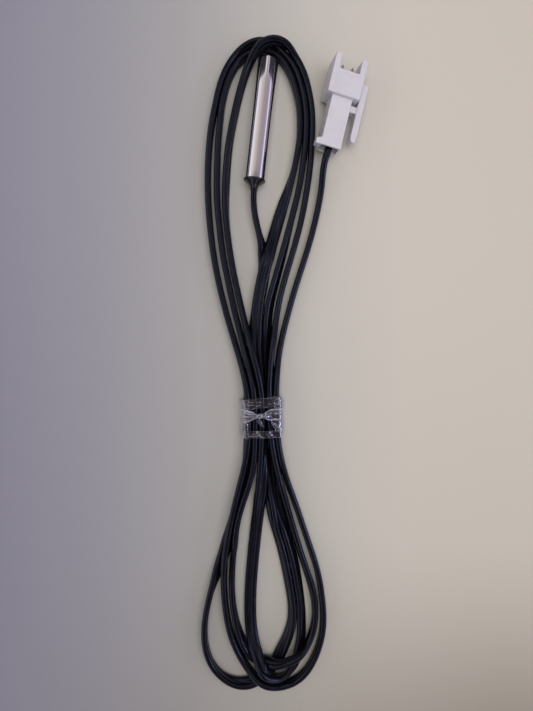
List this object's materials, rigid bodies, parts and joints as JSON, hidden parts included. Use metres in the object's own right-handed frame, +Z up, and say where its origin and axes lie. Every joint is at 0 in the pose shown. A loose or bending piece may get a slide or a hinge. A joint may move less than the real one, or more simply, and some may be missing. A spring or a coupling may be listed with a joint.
{
  "type": "temperature sensor",
  "caption": "Temperature sensor with a closed metal probe tube, a flat twin cable tied in a hank, and a white latching pin connector.",
  "frame": {"origin": "on the resting surface, under the middle of the probe tube", "axes": "+Y along the probe tube towards its closed tip, +Z up from the resting surface, +X to the connector's side"},
  "size_m": [0.0425, 0.1602, 0.0082],
  "materials": {
    "polished_steel": "polished stainless",
    "black_epoxy": "cast resin",
    "bead_coat": "dipped resin",
    "black_pvc": "satin",
    "clear_sleeve": "translucent",
    "tinned_copper": "tinned",
    "solder": "tinned",
    "white_nylon": "satin moulded",
    "tinned_contact": "tinned",
    "clear_film": "clear"
  },
  "bodies": {
    "root": {"probe_tube": "polished_steel", "potting": "black_epoxy", "thermistor_bead": "bead_coat", "bead_lead_a": "tinned_copper", "bead_lead_b": "tinned_copper", "lead_splice_a": "solder", "lead_splice_b": "solder", "lead_sleeve_a": "clear_sleeve", "lead_sleeve_b": "clear_sleeve", "probe_jacket": "black_pvc", "probe_conductor_a": "tinned_copper", "probe_conductor_b": "tinned_copper", "cable_probe_lead": "black_pvc", "cable_hank": "black_pvc", "cable_plug_lead": "black_pvc", "tie_strip": "clear_film", "connector_housing": "white_nylon", "terminal_a": "tinned_contact", "terminal_b": "tinned_contact", "plug_core_a": "black_pvc", "plug_core_b": "black_pvc", "plug_conductor_a": "tinned_copper", "plug_conductor_b": "tinned_copper"}
  },
  "joints": []
}
